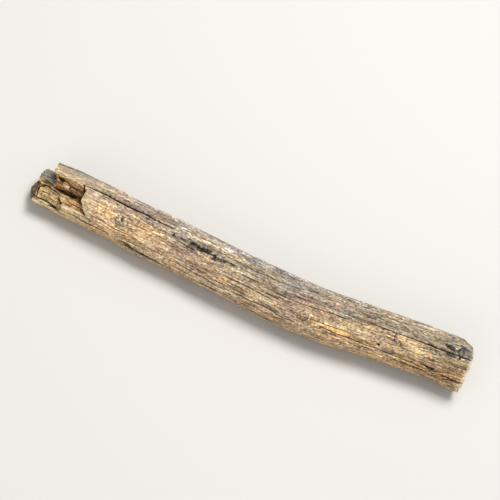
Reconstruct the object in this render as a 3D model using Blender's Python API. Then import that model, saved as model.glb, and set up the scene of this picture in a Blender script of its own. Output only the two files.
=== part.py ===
"""A weathered wooden stick: one bent piece of old branch, split and broken at the left end.

Units are metres. The stick lies along X on the plane z = 0, its broken end towards -X.
A point of the wood is named by three numbers: `along`, the distance along it from near the
left tip, `rise`, the height across the side that shows, and `face`, the distance out through it.
"""

import math

import bmesh
import bpy
from mathutils import Vector, noise

MM = 0.001

# Driving dimensions
LENGTH = 332 * MM           # from the end of the plank's splinter to the snapped end
CORE_REACH = 3.4 * MM       # how far the dark core sticks out past along = 0
HALF_THICK_LEFT = 16.7 * MM
HALF_THICK_KNEE = 17.9 * MM
HALF_THICK_RIGHT = 17.4 * MM
FLATNESS = 0.07             # how much thinner the stick is from face to back
KNEE_AT = 196 * MM
KNEE_SOFTNESS = 15 * MM
LEFT_ARM_SLOPE = -0.080     # sideways run of each arm for its length
RIGHT_ARM_SLOPE = 0.057
FACE_TILT = math.radians(25)  # the worn face looks up and this far towards -Y
WORN_FLAT = 0.55 * MM       # depth of the rubbed strip that the stick rests on

# Mesh density of the trunk
SIDES = 60
RINGS = 52
SPARE = 9 * MM              # the trunk is made this much longer at both ends, then broken off
OUTSIDE = 24 * MM           # any distance safely outside the bark

# Drying cracks: along and rise at both ends, then width and depth
CRACKS = {
    "crack_upper": (34.0, 10.7, 103.0, 10.8, 1.3, 6.5),
    "crack_right": (250.0, 6.2, 335.0, 5.2, 1.2, 6.0),
    "crack_lower": (70.0, -14.6, 104.0, -15.6, 1.3, 3.5),
    "crack_plank": (-1.0, -15.0, 24.0, -15.5, 1.0, 5.5),
    "crack_belly": (222.0, -9.0, 262.0, -10.5, 0.9, 2.2),
}

# Rotted hollows and beetle holes: along, rise, half length, half width, depth
HOLLOWS = {
    "hollow_a": (120.5, 6.8, 4.4, 0.9, 2.0),
    "hollow_b": (127.0, 6.3, 4.8, 1.6, 3.2),
    "hollow_c": (133.8, 5.7, 4.6, 1.1, 2.4),
    "hollow_d": (140.8, 5.0, 5.2, 1.7, 2.4),
    "hollow_e": (148.0, 5.7, 4.4, 0.8, 1.2),
    "hollow_f": (302.6, -10.0, 4.4, 1.0, 1.8),
    "hollow_g": (306.4, -10.8, 2.4, 1.6, 2.2),
    "hollow_h": (311.0, 9.6, 2.6, 1.3, 2.0),
    "hollow_i": (314.6, 8.2, 2.8, 1.2, 2.4),
    "hole_a": (104.8, 7.3, 0.9, 1.3, 3.0),
    "hole_b": (265.4, -7.2, 1.1, 1.1, 5.0),
    "hole_c": (319.8, 3.8, 1.0, 1.0, 4.0),
}

# Knots and swellings that stand proud: along, rise, half length, half width, height
SWELLINGS = (
    (70.0, -0.6, 6.0, 6.0, 0.5),
    (325.0, 9.6, 6.0, 6.0, 1.3),
    (5.0, -16.2, 15.0, 14.0, 1.1),
    (9.0, 17.0, 13.0, 12.0, -1.1),
    (83.0, -16.8, 25.0, 15.0, 1.5),
    (227.0, -17.4, 37.0, 17.0, 2.3),
    (328.0, -17.0, 24.0, 15.0, 2.5),
    (98.0, 17.0, 22.0, 14.0, 0.7),
    (228.0, 17.0, 32.0, 14.0, -0.8),
    (296.0, 16.8, 20.0, 14.0, 0.5),
)

# Split faces of the broken end. Each gap is an outline across the grain, (rise, face), cleared
# from the left tip as far in as the last number of its row.
GAP_OVER_BACK_PRONG = (
    (-2.3, 19.0, 16.0), (-2.3, 1.5, 15.0), (0.7, 5.0, 14.5), (8.0, -3.0, 11.0), (8.0, -24.0, 6.5),
    (24.0, -24.0, 6.0), (24.0, 19.0, 12.4), (15.8, 19.0, 10.0), (13.6, 19.0, 8.5), (10.3, 19.0, 8.8),
    (7.4, 19.0, 12.0), (4.0, 19.0, 14.2), (0.5, 19.0, 17.2),
)
GAP_OVER_PLANK = (
    (-1.9, 19.0, 21.5), (-2.3, 6.3, 22.0), (-4.4, 6.6, 20.6), (-6.5, 7.1, 18.8), (-10.0, 7.0, 22.0),
    (-13.5, 6.6, 26.0), (-24.0, 6.3, 29.0), (-24.0, 19.0, 30.0),
)
# The notch under the missing slab: the same outline at the left tip and at the slab's edge.
NOTCH_AT_TIP = (
    (8.4, 16.5), (8.3, 12.6), (6.6, 10.4), (6.1, 8.4), (4.3, 8.7), (2.4, 6.2), (1.2, 6.5), (-0.4, 3.2),
    (-1.2, 3.0), (-1.9, 8.6), (-8.0, 8.9), (-15.6, 7.2), (-20.0, 12.0), (-14.0, 18.5), (-8.0, 20.0),
    (-4.0, 20.0), (0.0, 20.0), (4.0, 20.0), (8.0, 19.0),
)
NOTCH_AT_EDGE = (
    (11.4, 15.5, 36.0), (10.8, 11.6, 37.6), (7.9, 11.0, 38.0), (6.9, 9.0, 38.0), (4.9, 9.4, 38.0),
    (3.2, 7.0, 38.4), (1.6, 7.4, 38.6), (-2.2, 3.6, 41.0), (-3.5, 4.0, 41.0), (-4.4, 10.0, 41.0),
    (-8.0, 11.2, 41.6), (-10.6, 12.6, 42.2), (-11.6, 15.0, 41.8), (-9.4, 18.0, 41.0),
    (-6.6, 18.5, 37.6), (-3.6, 18.5, 34.8), (-0.5, 18.5, 32.4), (4.0, 18.5, 30.6), (8.4, 18.0, 32.6),
)
# Pockets behind the torn wood: along, rise, face, then half sizes the same way
POCKETS = {
    "pocket_under_slab": (41.0, -0.5, 7.2, 8.0, 6.0, 3.4),
    "pocket_under_ledge": (44.0, -7.6, 11.6, 5.0, 2.6, 1.7),
    "pocket_by_tip": (17.0, 6.7, 9.5, 2.6, 1.2, 3.2),
    "pocket_valley": (23.0, -1.6, 3.0, 9.0, 0.9, 2.4),
}


def smooth_step(value, low, high):
    share = min(1.0, max(0.0, (value - low) / (high - low)))
    return share * share * (3 - 2 * share)


def half_thickness(along):
    """Half the thickness across the face, where the wood has no flutes or knots."""
    swell = smooth_step(along, 0, KNEE_AT)
    shrink = smooth_step(along, KNEE_AT, LENGTH)
    return (
        HALF_THICK_LEFT
        + (HALF_THICK_KNEE - HALF_THICK_LEFT) * swell
        + (HALF_THICK_RIGHT - HALF_THICK_KNEE) * shrink
    )


def sideways(along):
    """The axis in plan: two nearly straight arms that meet in a soft knee."""
    run = along - KNEE_AT
    lean = 0.5 * (RIGHT_ARM_SLOPE + LEFT_ARM_SLOPE) * run
    fold = 0.5 * (RIGHT_ARM_SLOPE - LEFT_ARM_SLOPE) * (math.hypot(run, KNEE_SOFTNESS) - KNEE_SOFTNESS)
    return lean + fold


def radius(along, angle):
    """Distance from the axis to the surface. Angle 0 is the middle of the face, 90 degrees its upper edge."""
    plain = half_thickness(along) * (1 - FLATNESS * math.cos(angle) ** 2)
    # flutes run with the grain, so the noise is stretched along it
    rise, face = math.sin(angle), math.cos(angle)
    flutes = noise.noise(Vector((along / (62 * MM), 3.3 * rise, 3.3 * face))) * 0.85 * MM
    ridges = noise.noise(Vector((along / (30 * MM), 4.6 * rise, 4.6 * face))) * 0.5 * MM
    swell = noise.noise(Vector((along / (38 * MM) + 7.3, 1.1 * rise, 1.1 * face))) * 0.7 * MM
    proud = 0.0
    for centre, rise_there, half_length, half_width, height in SWELLINGS:
        middle = math.asin(max(-1.0, min(1.0, rise_there * MM / half_thickness(centre * MM))))
        around = (angle - middle) * plain / (half_width * MM)
        reach = math.hypot((along / MM - centre) / half_length, around)
        proud += height * MM * math.exp(-reach * reach * 2)
    # the upper corner of the right end is worn round
    worn = min(1.0, max(0.0, (along - (LENGTH - 13 * MM)) / (13 * MM)))
    shoulder = 7 * MM * worn**1.75 * max(0.0, math.sin(angle)) ** 2
    return plain + flutes + ridges + swell + proud - shoulder


def place(along, rise, face):
    """From the wood's own three numbers to the row frame."""
    belly = half_thickness(along) * (1 - FLATNESS * math.cos(FACE_TILT) ** 2)
    return Vector(
        (
            along - LENGTH / 2,
            sideways(along) + rise * math.cos(FACE_TILT) - face * math.sin(FACE_TILT),
            belly - WORN_FLAT + rise * math.sin(FACE_TILT) + face * math.cos(FACE_TILT),
        )
    )


def on_surface(along, rise, depth=0.0):
    """(rise, face) of the point that lies `depth` under the surface where it shows at that rise."""
    angle = math.asin(max(-1.0, min(1.0, rise / half_thickness(along))))
    reach = radius(along, angle) - depth
    return reach * math.sin(angle), reach * math.cos(angle)


def new_object(name, bm, collection, helper=False):
    bm.normal_update()
    bmesh.ops.triangulate(bm, faces=bm.faces[:], ngon_method="EAR_CLIP")
    bmesh.ops.recalc_face_normals(bm, faces=bm.faces[:])
    mesh = bpy.data.meshes.new(name)
    bm.to_mesh(mesh)
    bm.free()
    made = bpy.data.objects.new(name, mesh)
    collection.objects.link(made)
    made.hide_render = helper
    if helper:
        made.display_type = "WIRE"
    return made


def make_trunk(collection):
    """A primitive cylinder, cut into rings and laid along the bent axis with its flutes."""
    bm = bmesh.new()
    bmesh.ops.create_cone(bm, cap_ends=True, segments=SIDES, radius1=1, radius2=1, depth=1)
    long_edges = [e for e in bm.edges if abs(e.verts[0].co.z - e.verts[1].co.z) > 0.5]
    bmesh.ops.subdivide_edges(bm, edges=long_edges, cuts=RINGS, use_grid_fill=True)
    for vert in bm.verts:
        along = (vert.co.z + 0.5) * (LENGTH + 2 * SPARE) - SPARE
        angle = math.atan2(vert.co.y, vert.co.x)
        reach = radius(along, angle)
        vert.co = place(along, reach * math.sin(angle), reach * math.cos(angle))
    return new_object("stick", bm, collection)


def make_gap(name, tip_outline, edge_outline, collection):
    """A prism along the grain, open to the left, between an outline at the tip and one further in."""
    bm = bmesh.new()
    near = [bm.verts.new((rise, face, 0)) for rise, face in tip_outline]
    far = [bm.verts.new((rise, face, 10)) for rise, face, deep in edge_outline]
    count = len(near)
    bm.faces.new(near)
    bm.faces.new(reversed(far))
    for i in range(count):
        j = (i + 1) % count
        bm.faces.new((near[i], far[i], far[j], near[j]))
    # split into triangles while both ends are still flat, then bend it into place
    bm.normal_update()
    bmesh.ops.triangulate(bm, faces=bm.faces[:], ngon_method="EAR_CLIP")
    for vert, (rise, face) in zip(near, tip_outline):
        vert.co = place(-2 * SPARE, rise * MM, face * MM)
    for vert, (rise, face, deep) in zip(far, edge_outline):
        vert.co = place(deep * MM, rise * MM, face * MM)
    return new_object(name, bm, collection, helper=True)


def straight_gap(name, outline, collection):
    return make_gap(name, [row[:2] for row in outline], outline, collection)


def make_crack(name, ends, collection):
    """A thin wedge laid along the grain, widest at the surface and closed at both ends."""
    start, start_rise, stop, stop_rise, width, depth = (value * MM for value in ends)
    cuts = 11
    bm = bmesh.new()
    bmesh.ops.create_cube(bm, size=1)
    long_edges = [e for e in bm.edges if abs(e.verts[0].co.x - e.verts[1].co.x) > 0.5]
    bmesh.ops.subdivide_edges(bm, edges=long_edges, cuts=cuts, use_grid_fill=True)
    for vert in bm.verts:
        share = vert.co.x + 0.5
        along = start + (stop - start) * share
        wander = 0.5 * MM * noise.noise(Vector((along / (9 * MM), depth * 1000, 0.5)))
        rise = start_rise + (stop_rise - start_rise) * share + wander
        taper = max(0.12, math.sin(math.pi * min(1.0, max(0.0, 0.04 + 0.92 * share))) ** 0.5)
        outer = vert.co.z > 0
        across = vert.co.y * width * taper * (1.0 if outer else 0.25)
        under = -1.5 * MM if outer else depth * taper
        at_rise, at_face = on_surface(along, rise, under)
        vert.co = place(along, at_rise + across, at_face)
    return new_object(name, bm, collection, helper=True)


def make_hollow(name, numbers, collection):
    """An uneven egg sunk in the surface."""
    along, rise, half_length, half_width, depth = (value * MM for value in numbers)
    centre_rise, centre_face = on_surface(along, rise)
    lean = math.atan2(centre_rise, centre_face)
    bm = bmesh.new()
    bmesh.ops.create_icosphere(bm, subdivisions=2, radius=1)
    for vert in bm.verts:
        dent = 1 + 0.45 * noise.noise(vert.co * 1.9 + Vector((along * 1000, 0, 0)))
        run, across, out = vert.co * dent
        across *= half_width
        out *= depth
        vert.co = place(
            along + run * half_length,
            centre_rise + across * math.cos(lean) + out * math.sin(lean),
            centre_face - across * math.sin(lean) + out * math.cos(lean),
        )
    return new_object(name, bm, collection, helper=True)


def make_pocket(name, numbers, collection):
    along, rise, face, half_length, half_rise, half_face = (value * MM for value in numbers)
    bm = bmesh.new()
    bmesh.ops.create_icosphere(bm, subdivisions=2, radius=1)
    for vert in bm.verts:
        run, across, out = vert.co * (1 + 0.2 * noise.noise(vert.co * 2.1))
        vert.co = place(along + run * half_length, rise + across * half_rise, face + out * half_face)
    return new_object(name, bm, collection, helper=True)


def left_break(rise, face):
    """Where the wood ends at the left: a long dark core, a plank in front of it and torn fibres behind."""
    rough = noise.noise(Vector((rise / (3.1 * MM), face / (3.1 * MM), 4.2))) * 1.1 * MM
    if rise > -2 * MM:
        core = plank = 0.6 * MM + 0.45 * max(0.0, rise - 4 * MM)
    else:
        core = 0.42 * max(0.0, -9 * MM - rise) + 0.6 * max(0.0, rise + 9 * MM) - CORE_REACH
        plank = 2.2 * MM + 0.3 * abs(rise + 9.5 * MM)
        plank += 4.5 * MM * smooth_step(rise, -6 * MM, -3.5 * MM)
        plank -= 2.6 * MM * smooth_step(-rise, 13.5 * MM, 14.5 * MM)
    ahead = smooth_step(face, -0.2 * MM, 1.2 * MM)
    back = 4.0 * MM * smooth_step(-face, 7 * MM, 11 * MM)
    return min(11 * MM, core + (plank - core) * ahead + back) + rough


def right_break(rise, face):
    """A nearly square old break, hollowed a little inside its rim."""
    reach = math.hypot(rise, face) / HALF_THICK_RIGHT
    rough = noise.noise(Vector((rise / (2.9 * MM), face / (2.9 * MM), 9.1))) * 1.3 * MM
    fibres = noise.noise(Vector((rise / (1.7 * MM), face / (6.0 * MM), 1.4))) * 0.7 * MM
    dished = 2.2 * MM * (1 - smooth_step(reach, 0.55, 0.95))
    return LENGTH - 1.0 * MM - dished + rough + fibres


def make_break(name, profile, outward, steps, collection):
    """Everything beyond a torn end face: a grid across the grain, pulled out along it."""
    bm = bmesh.new()
    bmesh.ops.create_grid(bm, x_segments=steps, y_segments=steps, size=OUTSIDE)
    for vert in bm.verts:
        rise, face = vert.co.x, vert.co.y
        # the grid's own rows would show in the torn wood, so its points are shuffled a little
        rise += 0.55 * MM * noise.noise(Vector((rise, face, 0.1)) * 700)
        face += 0.55 * MM * noise.noise(Vector((rise, face, 0.7)) * 700)
        vert.co = place(profile(rise, face), rise, face)
    pulled = bmesh.ops.extrude_face_region(bm, geom=bm.faces[:])
    far = -3 * SPARE if outward < 0 else LENGTH + 3 * SPARE
    for vert in pulled["geom"]:
        if isinstance(vert, bmesh.types.BMVert):
            vert.co.x = far - LENGTH / 2
    return new_object(name, bm, collection, helper=True)


def make_floor_cut(collection):
    bm = bmesh.new()
    bmesh.ops.create_cube(bm, size=1)
    bmesh.ops.scale(bm, vec=(2 * LENGTH, 4 * OUTSIDE, OUTSIDE), verts=bm.verts[:])
    bmesh.ops.translate(bm, vec=(0, 0, -OUTSIDE / 2), verts=bm.verts[:])
    return new_object("worn_flat_cut", bm, collection, helper=True)


def cut(target, cutters):
    for cutter in cutters:
        modifier = target.modifiers.new(cutter.name, "BOOLEAN")
        modifier.operation = "DIFFERENCE"
        modifier.solver = "EXACT"
        modifier.object = cutter


def centre_on_footprint(target):
    """Puts the origin under the middle of the stick, on the plane that it rests on."""
    graph = bpy.context.evaluated_depsgraph_get()
    corners = [Vector(corner) for corner in target.evaluated_get(graph).bound_box]
    middle = [(min(c[i] for c in corners) + max(c[i] for c in corners)) / 2 for i in range(2)]
    shift = Vector((-middle[0], -middle[1], 0))
    for made in bpy.data.objects:
        made.location = shift


def weathered_wood():
    material = bpy.data.materials.new("weathered_wood")
    material.use_nodes = True
    shader = material.node_tree.nodes["Principled BSDF"]
    shader.inputs["Base Color"].default_value = (0.41, 0.30, 0.195, 1)
    shader.inputs["Roughness"].default_value = 0.85
    shader.inputs["Metallic"].default_value = 0.0
    material.diffuse_color = (0.41, 0.30, 0.195, 1)
    return material


def new_collection(name):
    made = bpy.data.collections.new(name)
    bpy.context.scene.collection.children.link(made)
    return made


def main():
    for old in list(bpy.data.objects):
        bpy.data.objects.remove(old, do_unlink=True)
    wood = new_collection("wooden_stick")
    cutters = new_collection("cutters")
    stick = make_trunk(wood)
    made = [
        straight_gap("gap_over_back_prong", GAP_OVER_BACK_PRONG, cutters),
        straight_gap("gap_over_plank", GAP_OVER_PLANK, cutters),
        make_gap("notch", NOTCH_AT_TIP, NOTCH_AT_EDGE, cutters),
    ]
    made += [make_pocket(name, numbers, cutters) for name, numbers in POCKETS.items()]
    made += [make_break("left_break", left_break, -1, 26, cutters)]
    made += [make_break("right_break", right_break, 1, 17, cutters)]
    made += [make_crack(name, ends, cutters) for name, ends in CRACKS.items()]
    made += [make_hollow(name, numbers, cutters) for name, numbers in HOLLOWS.items()]
    made += [make_floor_cut(cutters)]
    cut(stick, made)
    bpy.context.view_layer.update()
    centre_on_footprint(stick)
    stick.data.materials.append(weathered_wood())


main()
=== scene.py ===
import math

import bpy
import numpy as np
from mathutils import Matrix, Vector, noise
from mathutils.bvhtree import BVHTree
from mathutils.kdtree import KDTree


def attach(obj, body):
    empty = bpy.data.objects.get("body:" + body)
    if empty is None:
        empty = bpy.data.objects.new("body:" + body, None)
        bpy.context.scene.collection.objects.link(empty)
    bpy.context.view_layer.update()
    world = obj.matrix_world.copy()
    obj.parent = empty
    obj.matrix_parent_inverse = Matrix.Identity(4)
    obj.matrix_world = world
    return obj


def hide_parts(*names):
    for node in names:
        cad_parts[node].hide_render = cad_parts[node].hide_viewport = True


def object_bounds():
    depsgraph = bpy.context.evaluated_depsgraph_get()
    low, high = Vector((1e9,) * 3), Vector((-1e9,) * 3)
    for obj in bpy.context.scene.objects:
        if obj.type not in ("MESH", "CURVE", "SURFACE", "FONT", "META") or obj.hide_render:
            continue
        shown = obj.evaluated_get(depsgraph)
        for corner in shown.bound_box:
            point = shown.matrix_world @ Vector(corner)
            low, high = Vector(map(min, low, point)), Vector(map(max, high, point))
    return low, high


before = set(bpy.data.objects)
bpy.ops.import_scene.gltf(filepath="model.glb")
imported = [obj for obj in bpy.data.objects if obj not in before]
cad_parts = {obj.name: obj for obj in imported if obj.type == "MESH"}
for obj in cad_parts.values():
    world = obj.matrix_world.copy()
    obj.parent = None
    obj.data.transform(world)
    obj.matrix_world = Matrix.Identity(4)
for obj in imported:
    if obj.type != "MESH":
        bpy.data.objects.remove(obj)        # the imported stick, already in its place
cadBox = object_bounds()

mm = 0.001

# the bent axis and the bark that the solid was shaped on, the same as in the solid's own source
stickForm = {
    "length": 332 * mm,
    "halfThickLeft": 16.7 * mm,
    "halfThickKnee": 17.9 * mm,
    "halfThickRight": 17.4 * mm,
    "flatness": 0.07,
    "kneeAt": 196 * mm,
    "kneeSoftness": 15 * mm,
    "leftSlope": -0.080,
    "rightSlope": 0.057,
    "faceTilt": math.radians(25),
    "wornFlat": 0.55 * mm,
    "shoulder": 13 * mm,                        # how far back the right end's upper corner is rounded
    "originShift": (1.486 * mm, -5.914 * mm),   # what centred the solid on its footprint
}

# how finely the surface is meshed, and how deep its weathering goes
stickSurface = {
    "cellAcross": 0.43 * mm,
    "cellAlong": 1.35 * mm,
    "lumps": 0.22 * mm,
    "ridges": 0.26 * mm,
    "grooves": 0.50 * mm,
    "fibres": 0.16 * mm,
    "flecks": 0.16 * mm,
    "pits": 0.55 * mm,
    "rings": 0.22 * mm,
    "tornFibres": 0.45 * mm,
    "tornEnds": 0.5 * mm,
    "lift": 0.12 * mm,            # makes up for what the grooves and pits take
    "tornZone": 46 * mm,          # the broken wood of the left end lies before this
    "snappedZone": 9 * mm,        # the snapped face lies within this of the right end
    "rimZone": 12 * mm,           # and its pale rim within this: fresh wood, partly a painted edge highlight
    "crackDepth": 1.7 * mm,       # the mesh is too coarse for more
    "hollowFill": 0.75,           # how much of the rotted hollows' depth crumbled wood fills
    "occlusionReach": 9 * mm,     # painted shade darkens the wood where other wood is nearer than this
}

# swellings of the solid: along, rise, half length, half width, height, all in millimetres
swellings = (
    (70.0, -0.6, 6.0, 6.0, 0.5),
    (325.0, 9.6, 6.0, 6.0, 1.3),
    (5.0, -16.2, 15.0, 14.0, 1.1),
    (9.0, 17.0, 13.0, 12.0, -1.1),
    (83.0, -16.8, 25.0, 15.0, 1.5),
    (227.0, -17.4, 37.0, 17.0, 2.3),
    (328.0, -17.0, 24.0, 15.0, 2.5),
    (98.0, 17.0, 22.0, 14.0, 0.7),
    (228.0, 17.0, 32.0, 14.0, -0.8),
    (296.0, 16.8, 20.0, 14.0, 0.5),
)

# drying cracks of the solid, with its own numbers: along and rise at both ends, width, depth
openCracks = (
    (34.0, 10.7, 103.0, 10.8, 1.3, 6.5),
    (250.0, 6.2, 335.0, 5.2, 1.2, 6.0),
    (70.0, -14.6, 104.0, -15.6, 1.3, 3.5),
    (-1.0, -15.0, 24.0, -15.5, 1.0, 5.5),
    (222.0, -9.0, 262.0, -10.5, 0.9, 2.2),
)

# the widths that the two long ones have on the surface, as shares of the solid's
crackWidening = {0: 1.2, 1: 0.8}

# fine checks that only the surface has, in the same order, with how dark their painted shade is
fineChecks = (
    (148.0, -3.0, 186.0, -4.2, 0.7, 0.8, 0.7),
    (186.0, 1.5, 240.0, 3.2, 0.8, 0.9, 0.7),
    (205.0, -6.5, 248.0, -6.0, 0.6, 0.7, 0.6),
    (60.0, 4.5, 96.0, 4.0, 0.6, 0.7, 0.5),
    (44.0, -7.5, 84.0, -8.6, 0.7, 0.8, 0.6),
    (104.0, -11.5, 150.0, -12.6, 0.8, 0.9, 0.8),
    (160.0, -11.0, 206.0, -12.4, 0.9, 0.9, 0.8),
    (30.0, -13.4, 62.0, -13.8, 1.1, 0.9, 0.9),
    (108.0, 5.0, 124.0, 3.2, 0.7, 0.7, 0.8),
    (150.0, 9.8, 206.0, 10.6, 0.7, 0.8, 0.6),
    (210.0, 12.5, 262.0, 12.6, 0.7, 0.8, 0.6),
    (236.0, 6.6, 252.0, 6.3, 0.6, 0.7, 0.7),
    (268.0, -3.5, 312.0, -4.4, 0.6, 0.7, 0.6),
    (262.0, -10.0, 304.0, -12.0, 0.7, 0.8, 0.8),
    (276.0, -13.0, 322.0, -14.6, 0.8, 0.8, 0.8),
    (312.0, -11.8, 331.0, -12.4, 0.9, 0.9, 0.9),
    (300.0, 12.0, 326.0, 12.2, 0.7, 0.8, 0.6),
    (84.0, 14.2, 130.0, 13.4, 0.7, 0.7, 0.6),
)

# splits and seams in the torn wood: width, depth, how dark their painted shade is, then along and rise of
# its points
tornSeams = (
    (1.2, 0.9, 1.0, (1.2, -13.2), (6.0, -13.4), (12.0, -13.2), (18.0, -13.9), (24.0, -14.6)),
    (1.4, 1.0, 1.0, (19.0, -5.6), (20.2, -8.2), (23.6, -10.4), (26.4, -13.2), (28.2, -15.0)),
    (1.2, 0.6, 1.0, (5.6, -3.2), (3.9, -5.4), (3.7, -9.0), (4.4, -12.6)),
    (1.2, 0.6, 1.0, (5.0, -3.0), (9.6, -2.8), (14.2, -3.6), (19.4, -4.6)),
    (1.0, 0.7, 1.0, (13.4, 8.8), (14.6, 6.6), (17.2, 5.2), (20.6, 6.4)),
    (0.8, 0.6, 0.8, (22.4, 6.2), (27.0, 4.4), (31.0, 5.0), (36.0, 3.2)),
    (1.0, 0.7, 0.9, (22.0, 0.8), (27.0, -0.6), (33.0, -0.6), (37.0, -2.0)),
    (0.9, 0.6, 0.8, (24.0, -5.4), (30.0, -6.8), (36.0, -6.6), (40.0, -7.4)),
    (0.8, 0.6, 0.8, (26.0, -8.0), (32.0, -9.6), (39.0, -10.0)),
    (1.0, 0.6, 0.9, (27.0, -11.2), (33.0, -12.2), (42.0, -12.4)),
    (0.9, 0.5, 0.6, (6.6, -8.0), (10.4, -7.4), (14.0, -8.2)),
    (0.8, 0.5, 0.5, (10.0, -10.4), (16.0, -10.2), (21.0, -11.6)),
    (1.0, 0.5, 0.9, (4.0, 0.6), (8.0, 0.2), (13.4, -0.4)),
    (0.8, 0.4, 0.5, (7.0, -5.6), (12.0, -5.0), (17.0, -6.4)),
    (0.7, 0.4, 0.7, (17.6, 8.6), (22.0, 8.2), (27.0, 8.9), (32.0, 7.6)),
    (0.8, 0.4, 0.8, (25.0, 2.4), (29.0, 2.0), (34.0, 0.8)),
    (1.0, 0.5, 0.9, (17.7, 3.8), (18.3, 6.0), (21.6, 6.1), (24.3, 4.2), (24.2, 1.2)),
    (1.5, 0.5, 1.0, (31.2, 11.4), (33.6, 9.4), (34.8, 5.6), (35.8, 1.0)),
)

# beetle and rot holes: along, rise, half length, half width, depth, how dark their painted shade is
holes = (
    (104.9, 7.1, 0.8, 1.9, 1.6, 1.0),
    (113.4, 6.9, 1.1, 1.1, 1.4, 0.5),
    (265.4, -7.2, 1.0, 1.0, 2.4, 1.0),
    (312.6, 9.2, 1.5, 1.2, 1.8, 1.0),
    (321.9, 3.7, 0.9, 0.9, 2.0, 1.0),
    (306.4, -10.8, 1.4, 1.2, 1.6, 0.8),
    (60.0, -3.0, 0.5, 0.5, 0.7, 0.6),
    (230.0, -2.2, 0.6, 0.6, 0.8, 0.6),
)

# knots and swirls that turn the grain aside: along, rise, how far they reach along and across, push
grainKnots = (
    (72, -0.3, 9, 5, 2.4),
    (133, 5.6, 20, 3.5, 2.4),
    (216, -6.0, 12, 6, 3.0),
    (266, -7.0, 6, 2.5, 1.2),
    (306, -10.8, 8, 3.5, 2.0),
    (324, 9.7, 9, 5, 3.4),
)

# growth rings that show round a knot: along, rise, ring spacing, outer radius, how plain they are
knotRings = (
    (72.5, -0.2, 1.55, 4.6, 0.12),
    (79.5, -3.2, 1.5, 3.0, 0.5),
    (324.8, 9.7, 1.9, 4.4, 0.3),
)

# thin curved lines round the knots: along, rise, half length, half width, thickness, then the middle
# and the spread of the curve in degrees from the grain's direction, then how pale, or dark below 0
knotArcs = (
    (68.6, 0.6, 3.2, 2.8, 0.7, 180, 90, 0.30),
    (68.9, 0.4, 1.9, 1.6, 0.6, 200, 120, -0.16),
    (69.5, 0.0, 5.0, 4.7, 0.7, 212, 64, -0.28),
    (70.0, -0.4, 6.8, 6.6, 0.6, 222, 52, -0.24),
    (70.5, 0.2, 4.6, 4.0, 0.6, 70, 34, -0.22),
    (71.5, -0.6, 8.6, 8.2, 0.6, 216, 30, -0.20),
    (324.2, 8.3, 6.6, 4.8, 0.9, 206, 72, 0.36),
    (324.4, 8.4, 5.2, 3.5, 0.8, 172, 64, -0.60),
    (324.4, 8.6, 5.8, 3.1, 0.9, 92, 44, -0.45),
    (324.3, 8.3, 5.7, 4.0, 0.8, 246, 26, -0.60),
    (324.6, 8.2, 2.9, 1.9, 0.8, 225, 80, 0.35),
    (325.0, 9.2, 7.6, 5.6, 0.9, 96, 46, 0.30),
    (315.8, 7.4, 3.2, 3.2, 0.8, 45, 38, 0.45),
    (312.4, 7.8, 3.4, 3.0, 0.8, 60, 50, -0.50),
    (282.0, 3.0, 8.0, 4.6, 0.8, 172, 50, -0.40),
    (284.0, 1.0, 5.0, 3.0, 0.7, 215, 40, -0.25),
)

# rot and mould on the face: along, rise, half length, half width, strength
rotSpots = (
    (119.5, 7.3, 2.8, 1.9, 1.0),
    (123.2, 6.9, 3.4, 2.6, 1.0),
    (126.8, 6.2, 3.6, 2.9, 1.0),
    (131.6, 7.2, 4.0, 2.8, 0.9),
    (137.5, 5.6, 3.8, 3.0, 1.0),
    (142.6, 5.7, 3.8, 2.4, 0.8),
    (149.5, 6.2, 5.4, 1.8, 0.65),
    (156.0, 7.2, 3.6, 1.0, 0.4),
    (111.8, 7.1, 1.9, 1.3, 0.9),
    (115.6, 6.4, 3.0, 0.9, 0.6),
    (105.0, 7.1, 0.9, 2.3, 1.0),
    (305.0, -10.6, 4.2, 1.9, 0.8),
    (307.4, -10.9, 2.0, 1.6, 1.0),
    (298.0, -9.0, 5.0, 0.9, 0.5),
    (312.8, 9.2, 2.6, 2.0, 1.0),
    (316.6, 7.6, 2.4, 1.6, 0.9),
    (315.0, 4.8, 6.6, 2.0, 0.9),
    (314.0, 3.3, 5.4, 1.3, 0.7),
    (309.0, 6.6, 4.0, 1.0, 0.6),
    (320.5, 5.4, 2.6, 1.3, 0.9),
    (303.0, 15.0, 5.0, 1.2, 0.6),
    (322.0, 12.4, 4.0, 1.2, 0.7),
    (88.0, -15.4, 15.0, 1.5, 0.9),
)

# the zone whose hollows crumbled wood fills: along, rise, half length, half width
crumbledZone = (134, 6, 24, 5)

# where the grain is mottled across itself: an oval again, how ragged, seed, strength
crossGrainSpots = (
    (213, -7, 16, 9, 0.4, 31.0, 1.0),
    (325, 8.8, 7, 5, 0.2, 33.0, 1.3),
    (69.5, 0.2, 4, 3, 0.2, 35.0, 1.3),
)

# tints that multiply the wood's colour, linear red, green and blue
patchTints = {
    "cream": (1.42, 1.34, 1.15),
    "white": (2.4, 2.5, 2.8),
    "pink": (1.7, 1.35, 1.25),
    "mauve": (0.74, 0.715, 0.76),
    "olive": (0.88, 0.90, 0.76),
    "slate": (0.60, 0.64, 0.70),
    "red": (0.72, 0.50, 0.46),
    "rust": (1.05, 0.66, 0.42),
    "brown": (0.78, 0.66, 0.52),
}

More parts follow.
